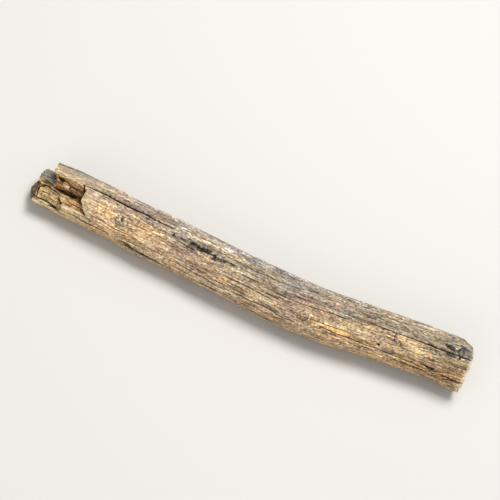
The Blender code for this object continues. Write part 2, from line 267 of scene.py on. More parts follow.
# patches of other colour: tint, along, rise, half length, half width, strength
patches = (
    ("cream", 52, 0.6, 14, 6.4, 0.95),
    ("cream", 62, -8.4, 20, 3.8, 0.8),
    ("cream", 46, -12.0, 12, 2.4, 0.4),
    ("cream", 85, 2.2, 17, 4.6, 1.0),
    ("cream", 84, -7.0, 16, 2.6, 0.6),
    ("cream", 103, -11.0, 12, 2.6, 0.7),
    ("cream", 146, -8.2, 14, 3.0, 0.9),
    ("cream", 84, 3.4, 15, 2.4, 0.5),
    ("cream", 230, -7.6, 16, 3.2, 1.0),
    ("cream", 300, 15.8, 32, 2.4, 0.2),
    ("cream", 323, 13.6, 8, 2.0, 0.8),
    ("cream", 176, -11.6, 18, 2.4, 0.5),
    ("cream", 279.5, 4.2, 6.5, 3.0, 0.9),
    ("cream", 287, 1.4, 10, 4.2, 1.0),
    ("cream", 298, -2.0, 11, 3.6, 1.0),
    ("cream", 294, 5.0, 10, 2.4, 0.5),
    ("cream", 264, 3.6, 14, 3.0, 0.9),
    ("cream", 234, -8.0, 17, 4.0, 1.0),
    ("cream", 318, 0.0, 12, 2.6, 0.5),
    ("cream", 122, 12.4, 16, 2.6, 0.6),
    ("cream", 144, 12.2, 18, 2.9, 0.9),
    ("cream", 22, 11.6, 17, 2.6, 1.0),
    ("white", 144.5, 14.8, 4.4, 1.6, 0.6),
    ("white", 108.3, 13.4, 2.4, 0.8, 1.0),
    ("white", 43.5, 8.2, 3.4, 1.6, 0.6),
    ("mauve", 122, -2.2, 24, 5.8, 1.0),
    ("mauve", 148, 0.2, 16, 3.0, 0.8),
    ("mauve", 42, 3.0, 6, 3.4, 0.7),
    ("mauve", 56, 11.4, 20, 3.2, 0.8),
    ("mauve", 80, 12.4, 17, 3.4, 0.9),
    ("mauve", 196, 3.0, 26, 6.0, 0.5),
    ("mauve", 178, 0.0, 18, 3.0, 0.8),
    ("mauve", 206, -4.0, 14, 3.0, 0.7),
    ("mauve", 240, 4.0, 20, 4.0, 0.6),
    ("mauve", 262, 2.0, 8, 3.0, 0.3),
    ("slate", 26, 16.0, 26, 4.2, 1.0),
    ("slate", 24, 16.3, 24, 3.8, 0.9),
    ("slate", 46, 7.6, 8, 2.0, 0.4),
    ("slate", 34, 9.0, 7, 1.8, 0.7),
    ("slate", 262, 8.2, 13, 1.8, 0.6),
    ("slate", 324.4, 8.8, 8.0, 5.4, 0.8),
    ("slate", 236, 8.2, 18, 2.6, 0.9),
    ("slate", 88, 15.0, 20, 3.2, 0.7),
    ("olive", 150, 8.0, 26, 3.4, 0.4),
    ("olive", 170, 12.0, 26, 4.0, 0.5),
    ("olive", 290, 12.0, 24, 2.6, 0.2),
    ("olive", 14, -9.0, 14, 5.0, 0.4),
    ("olive", 314.6, 2.9, 4.0, 1.6, 0.8),
    ("red", 230.4, -0.1, 3.8, 1.6, 0.9),
    ("red", 227.6, 10.2, 1.8, 1.2, 0.9),
    ("red", 225.5, 1.8, 3.0, 1.3, 0.5),
    ("red", 244.8, -6.2, 1.8, 1.0, 0.7),
    ("red", 147.5, 8.6, 3.2, 0.7, 0.7),
    ("pink", 133.8, 1.5, 2.6, 1.0, 1.0),
    ("rust", 185.9, 14.4, 1.8, 0.7, 1.0),
    ("rust", 104, 14.6, 1.6, 0.6, 0.7),
    ("brown", 196, -14.6, 34, 2.6, 0.6),
    ("brown", 310, -12.5, 24, 3.6, 0.7),
    ("brown", 320, -8.0, 12, 3.0, 0.6),
)

# colours of the torn wood, linear red, green and blue
tornColours = {
    "cavity": (0.35, 0.190, 0.080),
    "upperWall": (0.60, 0.385, 0.195),
    "layer": (0.50, 0.310, 0.135),
    "plank": (0.48, 0.335, 0.158),
    "strip": (0.40, 0.300, 0.155),
    "yellowBand": (0.78, 0.540, 0.270),
    "greyPlane": (0.25, 0.225, 0.165),
    "darkEnd": (0.135, 0.100, 0.052),
    "lump": (0.86, 0.550, 0.320),
    "orange": (0.62, 0.360, 0.110),
    "snapped": (0.34, 0.235, 0.135),
}

# where each of them lies: colour, then lowest and highest along, rise and face
tornZones = (
    ("layer", 23, 60, -20, -3.4, 4, 30),
    ("upperWall", 17, 60, 6.2, 20, 4, 30),
    ("plank", -9, 26, -20, -2.6, 5.2, 30),
    ("strip", -9, 30, -20, -13.6, 0, 30),
    ("darkEnd", -9, 30, -20, 20, -20, 1.0),
    ("greyPlane", -9, 13.6, -0.2, 24, -20, 12),
    ("yellowBand", -9, 14, -3.2, 0.2, 0, 30),
    ("darkEnd", -9, 2.4, -20, -2.6, -20, 30),
    ("lump", 18.6, 24.0, 1.8, 5.4, 4, 30),
    ("orange", 12.4, 16.6, 4.4, 9.6, 8, 30),
    ("snapped", 320, 350, -30, 30, -30, 30),
)

# a lump of sounder wood that stands in the cavity: along, rise, radius, height
cavityLump = (21.8, 4.0, 3.4, 1.8)


def smoothStep(value, low, high):
    share = np.clip((value - low) / (high - low), 0, 1)
    return share * share * (3 - 2 * share)


def grainNoise(places, alongSize, acrossSize, seed=0.0):
    # soft noise stretched along the grain, one value in about -1 to 1 for each place
    size = (1 / alongSize, 1 / acrossSize, 1 / acrossSize)
    shifted = places * np.array(size) + np.array((seed, seed * 1.7, -seed))
    return np.array([noise.noise(Vector(place)) for place in shifted])


def halfThickness(along):
    form = stickForm
    swell = smoothStep(along, 0, form["kneeAt"])
    shrink = smoothStep(along, form["kneeAt"], form["length"])
    half = form["halfThickLeft"] + (form["halfThickKnee"] - form["halfThickLeft"]) * swell
    return half + (form["halfThickRight"] - form["halfThickKnee"]) * shrink


def straighten(points):
    # where each point would be if the stick were straight: along it, up across its face, out of its face
    form = stickForm
    along = points[:, 0] - form["originShift"][0] + form["length"] / 2
    run = along - form["kneeAt"]
    soft = form["kneeSoftness"]
    lean = 0.5 * (form["rightSlope"] + form["leftSlope"]) * run
    lean += 0.5 * (form["rightSlope"] - form["leftSlope"]) * (np.hypot(run, soft) - soft)
    across = points[:, 1] - form["originShift"][1] - lean
    tilt = form["faceTilt"]
    belly = halfThickness(along) * (1 - form["flatness"] * math.cos(tilt) ** 2)
    upwards = points[:, 2] - belly + form["wornFlat"]
    rise = across * math.cos(tilt) + upwards * math.sin(tilt)
    face = -across * math.sin(tilt) + upwards * math.cos(tilt)
    return np.column_stack((along, rise, face))


def angleOfRise(along, rise):
    # the direction round the stick in which the surface shows at that rise
    return np.arcsin(np.clip(rise / halfThickness(along), -1, 1))


def barkRadius(along, angle):
    # the unbroken surface, so that what lies under it is known to be torn, cracked or rotted
    form = stickForm
    plain = halfThickness(along) * (1 - form["flatness"] * np.cos(angle) ** 2)
    section = np.column_stack((along, np.sin(angle), np.cos(angle)))
    flutes = grainNoise(section * (1, 3.3, 3.3), 62 * mm, 1) * 0.85 * mm
    ridges = grainNoise(section * (1, 4.6, 4.6), 30 * mm, 1) * 0.5 * mm
    swellPlaces = np.column_stack((along / (38 * mm) + 7.3, 1.1 * section[:, 1], 1.1 * section[:, 2]))
    swell = grainNoise(swellPlaces, 1, 1) * 0.7 * mm
    proud = 0
    for centre, riseThere, halfLength, halfWidth, height in swellings:
        around = (angle - angleOfRise(centre * mm, riseThere * mm)) * plain / (halfWidth * mm)
        reach = np.hypot((along / mm - centre) / halfLength, around)
        proud = proud + height * mm * np.exp(-2 * reach * reach)
    worn = np.clip((along - form["length"]) / form["shoulder"] + 1, 0, 1)
    shoulder = 7 * mm * worn**1.75 * np.maximum(0, np.sin(angle)) ** 2
    return plain + flutes + ridges + swell + proud - shoulder


def pickOnly(piece):
    bpy.ops.object.select_all(action="DESELECT")
    piece.select_set(True)
    bpy.context.view_layer.objects.active = piece


def copyOfSolid(nodeName, pieceName):
    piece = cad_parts[nodeName].copy()
    piece.data = piece.data.copy()
    piece.name = piece.data.name = pieceName
    bpy.context.scene.collection.objects.link(piece)
    pickOnly(piece)
    bpy.ops.object.mode_set(mode="EDIT")
    bpy.ops.mesh.select_all(action="SELECT")
    bpy.ops.mesh.remove_doubles(threshold=0.002 * mm)
    bpy.ops.object.mode_set(mode="OBJECT")
    return piece


def stretchAlong(piece, factor):
    # scales the mesh along the stick about the origin, as in edit mode with the cursor at the centre
    pickOnly(piece)
    bpy.ops.object.mode_set(mode="EDIT")
    bpy.ops.mesh.select_all(action="SELECT")
    bpy.ops.transform.resize(value=(factor, 1, 1), center_override=(0, 0, 0))
    bpy.ops.object.mode_set(mode="OBJECT")


def remeshWithGrain(piece):
    # cells longer than wide, so that thin grooves fit without a heavy mesh
    ratio = stickSurface["cellAlong"] / stickSurface["cellAcross"]
    stretchAlong(piece, 1 / ratio)
    remesh = piece.modifiers.new("evenCells", "REMESH")
    remesh.mode = "VOXEL"
    remesh.voxel_size = stickSurface["cellAcross"]
    remesh.adaptivity = 0
    bpy.ops.object.modifier_apply(modifier=remesh.name)
    stretchAlong(piece, ratio)


def meshArrays(mesh):
    count = len(mesh.vertices)
    points = np.empty(count * 3)
    normals = np.empty(count * 3)
    mesh.vertices.foreach_get("co", points)
    mesh.vertices.foreach_get("normal", normals)
    return points.reshape(-1, 3), normals.reshape(-1, 3)


def aroundFrom(places, along, rise):
    # distance round the stick from the line that shows at that rise
    angle = np.arctan2(places[:, 1], places[:, 2])
    return (angle - angleOfRise(along, rise)) * halfThickness(along)


def spotReach(places, spot):
    # 0 at the middle of an oval spot on the face, 1 at its edge
    along, rise, halfLength, halfWidth = (value * mm for value in spot)
    aside = aroundFrom(places, along, rise)
    return np.hypot((places[:, 0] - along) / halfLength, aside / halfWidth)


def turnGrainAside(places):
    # near a knot the grain is looked up from further off, so its lines part and flow round it
    turned = places.copy()
    radius = np.hypot(places[:, 1], places[:, 2]) + 1e-6
    angle = np.arctan2(places[:, 1], places[:, 2])
    half = halfThickness(places[:, 0])
    for knot in grainKnots:
        along, rise, reachAlong, reachAcross, push = (value * mm for value in knot)
        aside = (angle - angleOfRise(along, rise)) * half
        near = np.exp(-((places[:, 0] - along) / reachAlong) ** 2 - (aside / (1.6 * reachAcross)) ** 2)
        angle = angle - np.tanh(aside / (0.5 * reachAcross)) * near * push / half
    turned[:, 1] = radius * np.sin(angle)
    turned[:, 2] = radius * np.cos(angle)
    return turned


def unrolled(places):
    # the surface laid flat: along, and the way round
    around = np.arctan2(places[:, 1], places[:, 2]) * stickForm["halfThickRight"]
    return np.column_stack((places[:, 0], around))


def crackPath(number, crack):
    # the points of a crack on the unrolled surface, with the same bends as in the solid
    start, startRise, stop, stopRise, width, deep = (value * mm for value in crack[:6])
    isOpen = number < len(openCracks)
    path = []
    for i in range(13):
        along = start + (stop - start) * i / 12
        wander = noise.noise(Vector((along / (9 * mm), deep / mm if isOpen else number * 3.1, 0.5)))
        rise = startRise + (stopRise - startRise) * i / 12 + wander * (0.5 if isOpen else 0.9) * mm
        path.append((along, float(angleOfRise(along, rise)) * stickForm["halfThickRight"]))
    return path


def markPath(flat, allowed, path, width, deep, dark, marks):
    # marks: the way across to the nearest crack, its half width there, how dark it is, how deep
    for i in range(len(path) - 1):
        first, second = np.array(path[i]), np.array(path[i + 1])
        step = second - first
        length = float(np.hypot(*step))
        near = allowed[np.abs(flat[allowed, 0] - (first[0] + second[0]) / 2) < length / 2 + 2 * mm]
        run = (flat[near] - first) @ step / length**2
        off = ((flat[near, 1] - first[1]) * step[0] - (flat[near, 0] - first[0]) * step[1]) / length
        closer = (run > -0.02) & (run < 1.02) & (np.abs(off) < np.abs(marks[near, 0]))
        near, run, off = near[closer], run[closer], off[closer]
        share = (i + np.clip(run, 0, 1)) / (len(path) - 1)
        taper = np.sin(math.pi * (0.04 + 0.92 * share)) ** 0.35
        profile = np.clip(1.3 - np.abs(off) / (0.5 * width * taper + 0.1 * mm), 0, 1)
        marks[near] = np.column_stack(
            (off, 0.5 * width * taper, np.full(len(near), dark), deep * taper * profile)
        )


def crackMarks(places, torn):
    # every crack, check and seam: the way across to it, half width, darkness and depth
    marks = np.tile((3 * mm, 0, 0, 0), (len(places), 1))
    onFace = np.flatnonzero((places[:, 2] > 0) & (torn < 0.5))
    rows = [(*crack, 1.0) for crack in openCracks] + list(fineChecks)
    flat = unrolled(places)
    for number, row in enumerate(rows):
        deep = stickSurface["crackDepth"] if number < len(openCracks) else row[5] * mm
        width = row[4] * crackWidening.get(number, 1) * mm
        markPath(flat, onFace, crackPath(number, row), width, deep, row[6], marks)
    inTorn = np.flatnonzero((places[:, 2] > 3 * mm) & (torn >= 0.5))
    for width, deep, dark, *path in tornSeams:
        path = [(along * mm, rise * mm) for along, rise in path]
        markPath(places[:, :2], inTorn, path, width * mm, deep * mm, dark, marks)
    return marks


def holeDepths(places):
    depth = np.zeros(len(places))
    for hole in holes:
        reach = spotReach(places, hole[:4]) + (places[:, 2] < 0) * 9
        depth = np.maximum(depth, hole[4] * mm * (1 - smoothStep(reach, 0.55, 1.25)))
    return depth


def ringMarks(places):
    # growth rings round the knots, in -1 to 1
    rings = np.zeros(len(places))
    for along, rise, spacing, outer, plain in knotRings:
        reach = spotReach(places, (along, rise, 1.4, 1.0)) + (places[:, 2] < 0) * 99
        uneven = reach + 0.5 * grainNoise(places, 3 * mm, 2 * mm, along)
        fade = 1 - smoothStep(reach, 0.6 * outer, 1.2 * outer)
        rings += plain * fade * np.cos(2 * math.pi * uneven / spacing)
    return rings


def spotMask(places, spot, roughness, seed):
    # an oval spot with a ragged edge that follows the grain
    reach = spotReach(places, spot)
    ragged = reach + roughness * (
        grainNoise(places, 5 * mm, 1.5 * mm, seed) + 0.7 * grainNoise(places, 1.7 * mm, 0.9 * mm, seed + 3)
    )
    return (1 - smoothStep(ragged, 0.5, 1.1)) * (places[:, 2] > 0)


def nearSpot(places, spot, margin=1.7):
    return np.flatnonzero((spotReach(places, spot) < margin) & (places[:, 2] > 0))


def rotMarks(places):
    rot = np.zeros(len(places))
    for number, row in enumerate(rotSpots):
        here = nearSpot(places, row[:4])
        rot[here] = np.maximum(rot[here], row[4] * spotMask(places[here], row[:4], 0.6, number * 2.3))
    return rot


def patchTint(places):
    # the colour that every place is multiplied by: the side it is on, which carries painted light and shade
    # as well as weathering, and the patches near it
    tint = sideTintAndLight(places)
    for number, (name, *numbers) in enumerate(patches):
        here = nearSpot(places, numbers[:4])
        share = numbers[4] * spotMask(places[here], numbers[:4], 0.55, 40 + number * 1.9)
        tint[here] *= 1 + share[:, None] * (np.array(patchTints[name]) - 1)
    return tint


# how the sides have weathered, with painted light and shade in it: the upper side cooler as if under cool
# light, the band below the middle lighter, the underside darker; degrees round the stick from its face,
# then red, green and blue
sideWearAndLight = (
    (-180, 0.80, 0.78, 0.74),
    (-110, 0.86, 0.82, 0.74),
    (-75, 1.00, 0.95, 0.83),
    (-48, 1.13, 1.14, 1.07),
    (-30, 1.01, 0.99, 0.96),
    (-14, 0.97, 0.98, 0.95),
    (0, 1.05, 1.08, 1.06),
    (14, 0.87, 0.91, 0.96),
    (30, 0.76, 0.83, 0.95),
    (49, 0.81, 0.91, 1.08),
    (62, 0.84, 0.96, 1.16),
    (90, 0.86, 0.98, 1.16),
    (130, 0.84, 0.90, 0.96),
    (180, 0.80, 0.78, 0.74),
)

# how it has weathered along its length: millimetres, how bright, how yellow
lengthWear = (
    (-10, 1.00, 0.05),
    (36, 1.03, 0.04),
    (64, 1.19, 0.02),
    (92, 1.10, -0.02),
    (120, 1.01, -0.03),
    (148, 1.05, -0.03),
    (176, 1.01, -0.03),
    (204, 0.97, -0.05),
    (232, 1.04, 0.00),
    (260, 1.00, 0.00),
    (288, 1.03, 0.03),
    (312, 0.81, -0.01),
    (334, 0.76, 0.00),
)


def sideTintAndLight(places):
    # the sides' weathering with its painted light and shade, then brightness and yellowness along the
    # length
    angle = np.degrees(np.arctan2(places[:, 1], places[:, 2]))
    angle = angle + 12 * grainNoise(places, 34 * mm, 7 * mm, 12.1)
    stops = np.array(sideWearAndLight)
    tint = np.column_stack([np.interp(angle, stops[:, 0], stops[:, i]) for i in (1, 2, 3)])
    stops = np.array(lengthWear)
    bright = np.interp(places[:, 0] / mm, stops[:, 0], stops[:, 1])
    yellow = np.interp(places[:, 0] / mm, stops[:, 0], stops[:, 2])
    return tint * np.column_stack((bright * (1 + 0.4 * yellow), bright, bright * (1 - 1.6 * yellow)))


def tornColour(places, occlusion):
    # blends from the cavity's colour into each zone's own, then darkens it with painted shade where other
    # wood is close, broken up by noise
    colour = np.tile(tornColours["cavity"], (len(places), 1))
    wobble = 0.8 * mm * grainNoise(places, 4 * mm, 2.5 * mm, 21.0)
    mottle = grainNoise(places, 2.6 * mm, 1.3 * mm, 23.0)
    paintedShade = 0.76 * smoothStep(occlusion + 0.8 * mottle, 0.25, 1.0)
    for name, *box in tornZones:
        share = np.ones(len(places))
        for axis in range(3):
            low, high = box[2 * axis] * mm, box[2 * axis + 1] * mm
            value = places[:, axis] + wobble
            share *= smoothStep(value, low - 0.6 * mm, low + 0.6 * mm)
            share *= 1 - smoothStep(value, high - 0.6 * mm, high + 0.6 * mm)
        colour += share[:, None] * (np.array(tornColours[name]) - colour)
        if name in ("greyPlane", "yellowBand", "lump"):
            paintedShade = paintedShade * (1 - 0.6 * share)      # less painted shade on these
    return colour * (1 - paintedShade)[:, None]


def occlusionOf(mesh, points, normals, chosen):
    # the share of directions in which other wood is close: 0 in the open, 1 in a deep crevice
    tree = BVHTree.FromPolygons(
        [vertex.co for vertex in mesh.vertices], [tuple(face.vertices) for face in mesh.polygons]
    )
    golden = math.pi * (3 - math.sqrt(5))
    rays = []
    for i in range(16):
        height = 1 - (i + 0.5) / 16 * 0.95
        width = math.sqrt(1 - height * height)
        rays.append(Vector((width * math.cos(golden * i), width * math.sin(golden * i), height)))
    occlusion = np.zeros(len(points))
    for index in chosen:
        normal = Vector(normals[index])
        turn = normal.to_track_quat("Z", "Y")
        start = Vector(points[index]) + normal * (0.25 * mm)
        hits = 0
        for ray in rays:
            distance = tree.ray_cast(start, turn @ ray, stickSurface["occlusionReach"])[3]
            hits += distance is not None
        occlusion[index] = hits / len(rays)
    return occlusion


def besideSnapped(places, snapped):
    # below the knot: 1 on the snapped face and right beside it, 0 a little further off
    face = np.flatnonzero(snapped > 0.5)
    tree = KDTree(len(face))
    for index in face:
        tree.insert(places[index], index)
    tree.balance()
    start = stickForm["length"] - stickSurface["rimZone"]
    beside = (places[:, 0] > start) & (places[:, 1] < 6 * mm)
    near = np.zeros(len(places))
    for index in np.flatnonzero(beside & (places[:, 2] > 0)):
        near[index] = 1 - smoothStep(tree.find(places[index])[2], 0.8 * mm, 2.4 * mm)
    return near


def weatherSurface(piece):
    # moves every point by what sun and rain did there, and keeps what the finish needs as attributes
    look = stickSurface
    mesh = piece.data
    points, normals = meshArrays(mesh)
    places = straighten(points)
    along = places[:, 0]
    angle = np.arctan2(places[:, 1], places[:, 2])
    radius = np.hypot(places[:, 1], places[:, 2])
    below = barkRadius(along, angle) - radius
    inTornZone = along < look["tornZone"]
    endFacing = smoothStep(np.abs(normals[:, 0]), 0.45, 0.8)
    snapped = endFacing * (along > stickForm["length"] - look["snappedZone"])
    torn = np.maximum(smoothStep(below, 0.6 * mm, 1.8 * mm) * inTornZone, snapped)
    clearOfFloor = smoothStep(points[:, 2], 0.2 * mm, 1.2 * mm)   # the strip it rests on stays flat
    occlusion = occlusionOf(mesh, points, normals, np.flatnonzero(below > 0.3 * mm))
    print("broken wood found:", int((torn > 0.5).sum()), "points")

    grain = turnGrainAside(places)
    lumps = grainNoise(grain, 30 * mm, 8 * mm, 1.3)
    ridges = 0.6 - 2.4 * np.abs(grainNoise(grain, 30 * mm, 2.1 * mm, 4.1))
    grooveLine = np.abs(grainNoise(grain, 36 * mm, 1.8 * mm, 8.7))
    grooveHere = smoothStep(grainNoise(grain, 18 * mm, 6 * mm, 2.2), -0.2, 0.25)
    grooves = np.clip(1 - grooveLine / 0.13, 0, 1) * grooveHere
    fibres = grainNoise(grain, 7 * mm, 0.95 * mm, 5.5)
    flecks = grainNoise(grain, 2.6 * mm, 1.25 * mm, 14.4)
    pits = smoothStep(grainNoise(grain, 3.4 * mm, 1.7 * mm, 6.4), 0.30, 0.58)
    pits *= smoothStep(grainNoise(grain, 22 * mm, 9 * mm, 9.9), -0.1, 0.2)
    rings = ringMarks(places)
    cracks = crackMarks(places, torn)
    holeDepth = holeDepths(places)
    tornFibres = grainNoise(grain, 9 * mm, 1.2 * mm, 3.8) + 0.6 * grainNoise(grain, 3.5 * mm, 0.9 * mm, 7.7)
    print("grain, cracks and holes laid out")

    move = look["lumps"] * lumps + look["ridges"] * ridges - look["grooves"] * grooves
    move += look["fibres"] * fibres + look["flecks"] * flecks - look["pits"] * pits + look["rings"] * rings
    move += look["lift"]
    move = move * (1 - torn) + look["tornFibres"] * tornFibres * torn
    lumpReach = spotReach(places, (*cavityLump[:2], cavityLump[2] * 1.2, cavityLump[2]))
    move += cavityLump[3] * mm * (1 - smoothStep(lumpReach, 0.3, 1.1)) * torn * (places[:, 2] > 0)
    sideways = move * (1 - endFacing) * clearOfFloor
    endwise = look["tornEnds"] * tornFibres * endFacing * clearOfFloor
    points = points + normals * sideways[:, None]
    points[:, 0] += endwise * np.sign(normals[:, 0])
    # cracks and holes go straight in, crumbled wood in the rotted hollows comes back out
    onBark = np.maximum(0, below) * (1 - torn)
    inwards = np.maximum(0, np.maximum(cracks[:, 3], holeDepth) - onBark) * clearOfFloor
    rotted = (1 - smoothStep(spotReach(places, crumbledZone), 0.8, 1.1)) * (places[:, 2] > 0)
    inwards -= look["hollowFill"] * np.maximum(0, below - 0.2 * mm) * rotted
    tilt = stickForm["faceTilt"]
    rise, face = places[:, 1] / radius, places[:, 2] / radius
    points[:, 1] -= inwards * (rise * math.cos(tilt) - face * math.sin(tilt))
    points[:, 2] -= inwards * (rise * math.sin(tilt) + face * math.cos(tilt))
    low, high = (np.array(corner) for corner in cadBox)
    points = np.clip(points, low, high)
    mesh.vertices.foreach_set("co", points.ravel())
    mesh.update()

    # how high each point is, 0 to 1, for the finish
    relief = 0.5 + 0.38 * ridges + 0.25 * fibres + 0.38 * flecks
    relief = relief - 0.45 * grooves - 0.45 * pits + 0.7 * rings
    relief = relief * (1 - torn) + (0.5 + 0.55 * tornFibres) * torn
    # painted shade: near black in the hollows where other wood is close, less in the rotted ones, and
    # darker in the grooves
    inHollow = smoothStep(below, 0.3 * mm, 1.0 * mm) * (1 - inTornZone) * (places[:, 2] > 0)
    hollowAndGrooveShade = np.maximum(inHollow * occlusion * (1.3 - 1.15 * rotted), 0.34 * grooves * (1 - torn))
    # a pale rim along the broken edges and the snapped end: fresh wood, partly a painted edge highlight
    rim = smoothStep(below, -0.2 * mm, 0.3 * mm) * (1 - smoothStep(below, 0.8 * mm, 1.6 * mm)) * inTornZone
    rim *= smoothStep(places[:, 2], 2 * mm, 5 * mm)
    inward = smoothStep(below, 0.5 * mm, 1.2 * mm)
    rim = np.maximum(rim, 1.3 * besideSnapped(places, snapped) * (1 - inward))
    crossGrain = np.zeros(len(places))
    for *spot, ragged, seed, strength in crossGrainSpots:
        crossGrain = np.maximum(crossGrain, strength * spotMask(places, spot, ragged, seed))
    keepVector(mesh, "grainPlace", grain)
    keepVector(mesh, "woodMarks", np.column_stack((np.clip(relief, 0, 1), torn, np.clip(hollowAndGrooveShade, 0, 1))))
    keepVector(mesh, "woodShift", np.column_stack((rim, rotMarks(places), crossGrain)))
    keepVector(mesh, "crackPlace", cracks[:, :3] * (1 / mm, 1 / mm, 1))
    keepVector(mesh, "flatPlace", np.column_stack((unrolled(places) / mm, places[:, 2] / mm)))
    keepVector(mesh, "woodTintAndLight", patchTint(places))
    # the torn wood's colours with their painted shade
    keepVector(mesh, "tornTintAndShade", tornColour(places, occlusion))
    print("colours laid out")


def keepVector(mesh, name, values):
    attribute = mesh.attributes.new(name, "FLOAT_VECTOR", "POINT")
    attribute.data.foreach_set("vector", np.ascontiguousarray(values, dtype=np.float32).ravel())


# the weathered wood from its darkest grain to its palest: tone, then linear red, green and blue
grainColours = (
    (0.00, (0.060, 0.043, 0.031)),
    (0.16, (0.134, 0.096, 0.069)),
    (0.32, (0.248, 0.174, 0.119)),
    (0.46, (0.375, 0.264, 0.171)),
    (0.58, (0.490, 0.350, 0.220)),
    (0.72, (0.645, 0.480, 0.292)),
    (0.85, (0.880, 0.695, 0.415)),
    (0.96, (1.000, 0.900, 0.630)),
)

# the finish: how much each kind of grain counts, then the colours laid over it
woodFinish = {
    "streaks": 0.62,
    "hairs": 0.60,
    "flecks": 1.32,
    "patches": 0.50,
    "relief": 0.38,
    "paleSpecks": 0.34,
    "darkSpecks": 0.24,
    "middle": 0.53,
    "crossMarks": 0.9,
    "tornGrain": (0.9, 2.2, 1.5, 1.6, 1.5),     # of the relief, flecks, streaks, hairs, marks across
    "fineLines": 0.50,
    "curls": 0.42,
    "rimShare": 0.6,
    # how far the painted shade in the hollows and grooves goes towards near black
    "darkest": 0.96,
    "warmTint": (1.09, 0.99, 0.82),
    "coolTint": (0.92, 1.01, 1.18),
    "mauveTint": (1.03, 0.955, 1.035),
    "oliveTint": (0.97, 1.04, 0.965),
    # near black, for the grain's fine lines and for the painted shade in hollows, grooves, cracks and holes
    "crevice": (0.012, 0.009, 0.007),
    "rot": (0.021, 0.018, 0.013),
    "mouldyWood": (0.130, 0.113, 0.074),
    "rim": (0.86, 0.70, 0.46),
    "specular": 0.2,
    "roughest": 0.97,
    "smoothest": 0.76,
    "bumpHeight": 0.5 * mm,
}


def addNode(tree, kind, values=(), **settings):
    node = tree.nodes.new(kind)
    for name, value in settings.items():
        setattr(node, name, value)
    for socket, value in dict(values).items():
        node.inputs[socket].default_value = value
    return node


def grainTexture(tree, place, alongSize, acrossSize, detail, shift):
    mapping = addNode(tree, "ShaderNodeMapping", {
        "Location": (shift, shift * 0.7, -shift),
        "Scale": (1 / alongSize, 1 / acrossSize, 1 / acrossSize),
    })
    tree.links.new(place, mapping.inputs["Vector"])
    texture = addNode(tree, "ShaderNodeTexNoise", {"Scale": 1.0, "Detail": detail, "Roughness": 0.55})
    tree.links.new(mapping.outputs["Vector"], texture.inputs["Vector"])
    return texture.outputs["Fac"]


def band(tree, value, low, high):
    # 0 below low, 1 above high, smooth between
    node = addNode(tree, "ShaderNodeMapRange", {"From Min": low, "From Max": high})
    node.interpolation_type = "SMOOTHSTEP"
    tree.links.new(value, node.inputs["Value"])
    return node.outputs["Result"]


def contour(tree, value, inner, outer):
    # a thin line wherever the noise crosses its middle
    off = calculate(tree, "ABSOLUTE", calculate(tree, "SUBTRACT", value, 0.5))
    return calculate(tree, "SUBTRACT", 1.0, band(tree, off, inner, outer))


def calculate(tree, operation, first, second=0.0, third=0.0):
    node = addNode(tree, "ShaderNodeMath", operation=operation)
    for socket, value in zip(node.inputs, (first, second, third)):
        if isinstance(value, (int, float)):
            socket.default_value = value
        else:
            tree.links.new(value, socket)
    return node.outputs["Value"]


def addWeighted(tree, total, value, weight):
    # adds weight times how far the value is from its middle, one half
    return calculate(tree, "MULTIPLY_ADD", calculate(tree, "SUBTRACT", value, 0.5), weight, total)


def blendColours(tree, factor, first, second, blendType="MIX"):
    node = addNode(tree, "ShaderNodeMix", data_type="RGBA", blend_type=blendType)
    factorSocket, firstSocket, secondSocket = node.inputs["Factor"], node.inputs[6], node.inputs[7]
    for socket, value in ((factorSocket, factor), (firstSocket, first), (secondSocket, second)):
        if isinstance(value, (int, float)):
            socket.default_value = value
        elif isinstance(value, tuple):
            socket.default_value = (*value, 1)
        else:
            tree.links.new(value, socket)
    return node.outputs[2]


def rampOf(tree, value, stops):
    node = addNode(tree, "ShaderNodeValToRGB")
    elements = node.color_ramp.elements
    while len(elements) < len(stops):
        elements.new(0.5)
    for element, (position, colour) in zip(elements, stops):
        element.position = position
        element.color = (*colour, 1)
    tree.links.new(value, node.inputs["Fac"])
    return node.outputs["Color"]


def readAttribute(tree, name, split=True):
    vector = addNode(tree, "ShaderNodeAttribute", attribute_name=name).outputs["Vector"]
    if not split:
        return vector
    parts = addNode(tree, "ShaderNodeSeparateXYZ")
    tree.links.new(vector, parts.inputs[0])
    return parts.outputs


def ovalReach(tree, flat, along, rise, halfLength, halfWidth):
    # the way from an oval's middle, and its length: 0 at the middle, 1 at the edge
    aside = float(angleOfRise(along * mm, rise * mm)) * stickForm["halfThickRight"] / mm
    centred = addNode(tree, "ShaderNodeMapping", vector_type="TEXTURE")
    centred.inputs["Location"].default_value = (along, aside, 0)
    centred.inputs["Scale"].default_value = (halfLength, halfWidth, 1e6)
    tree.links.new(flat, centred.inputs["Vector"])
    length = addNode(tree, "ShaderNodeVectorMath", operation="LENGTH")
    tree.links.new(centred.outputs["Vector"], length.inputs[0])
    return centred.outputs["Vector"], length.outputs["Value"]


def knotArc(tree, flat, wobble, arc):
    # 1 on a thin curved line, 0 elsewhere
    along, rise, halfLength, halfWidth, thickness, middle, spread = arc
    way, length = ovalReach(tree, flat, along, rise, halfLength, halfWidth)
    reach = addWeighted(tree, length, wobble, 0.9)
    off = calculate(tree, "ABSOLUTE", calculate(tree, "SUBTRACT", reach, 1.0))
    size = 0.5 * (halfLength + halfWidth)
    beyond = band(tree, off, 0.25 * thickness / size, 0.85 * thickness / size)
    line = calculate(tree, "SUBTRACT", 1.0, beyond)
    towards = math.radians(middle)
    dot = addNode(tree, "ShaderNodeVectorMath", operation="DOT_PRODUCT")
    tree.links.new(way, dot.inputs[0])
    dot.inputs[1].default_value = (math.cos(towards), math.sin(towards), 0)
    turned = calculate(tree, "DIVIDE", dot.outputs["Value"], length)
    edge = math.cos(math.radians(spread))
    return calculate(tree, "MULTIPLY", line, band(tree, turned, edge - 0.12, edge + 0.12))


